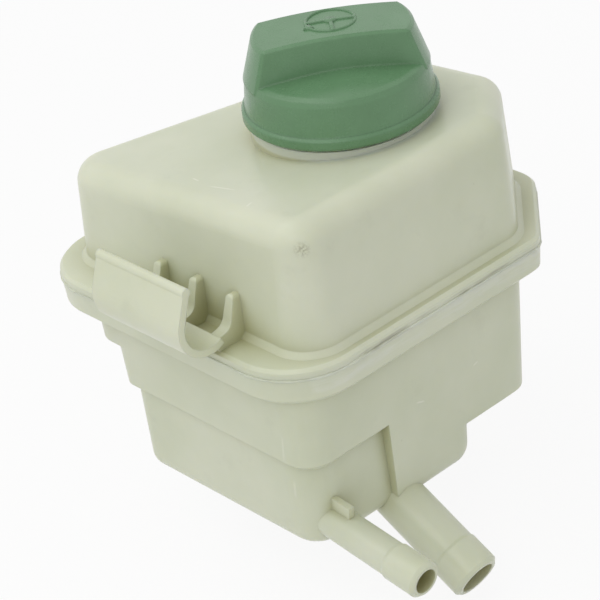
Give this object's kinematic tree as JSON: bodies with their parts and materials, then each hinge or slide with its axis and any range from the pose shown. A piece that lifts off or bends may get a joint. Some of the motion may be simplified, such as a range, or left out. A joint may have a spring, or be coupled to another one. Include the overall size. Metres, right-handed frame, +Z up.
{
  "type": "power steering reservoir",
  "caption": "Moulded fluid tank of welded halves with a stepped sump, sloping hose spigots, an open hose clip and a screw cap with a grip bar and dipstick.",
  "frame": {"origin": "on the filler neck's axis, in the plane of the weld seam between the tank's halves", "axes": "+Z up along the filler neck, +X towards the hose spigots, -Y towards the hose clip"},
  "size_m": [0.1558, 0.154, 0.1744],
  "materials": {
    "tank": "natural cream moulded plastic with a faint translucency, softly scuffed along the weld",
    "cap": "satin green moulded plastic",
    "seal": "matt black",
    "stick": "satin green moulded plastic",
    "strainer": "natural moulded plastic",
    "cloth": "fine woven filter cloth"
  },
  "bodies": {
    "reservoir": {"upper_shell": "tank", "lower_shell": "tank", "strainer_frame": "strainer", "strainer_mesh": "cloth"},
    "seal": {"cap_seal": "seal"},
    "cap": {"fill_cap": "cap", "dipstick": "stick"}
  },
  "joints": [
    {"name": "cap_lift", "type": "slide", "parent": "reservoir", "child": "seal", "axis": [0, 0, 1], "range_m": [0, 0.006]},
    {"name": "cap_turn", "type": "hinge", "parent": "seal", "child": "cap", "pos_m": [0, 0, 0.06], "axis": [0, 0, 1], "range_deg": [0, 540]}
  ],
  "couplings": [
    {"joint": "cap_lift", "follows": "cap_turn", "m_per_rad": 0.0006366}
  ]
}
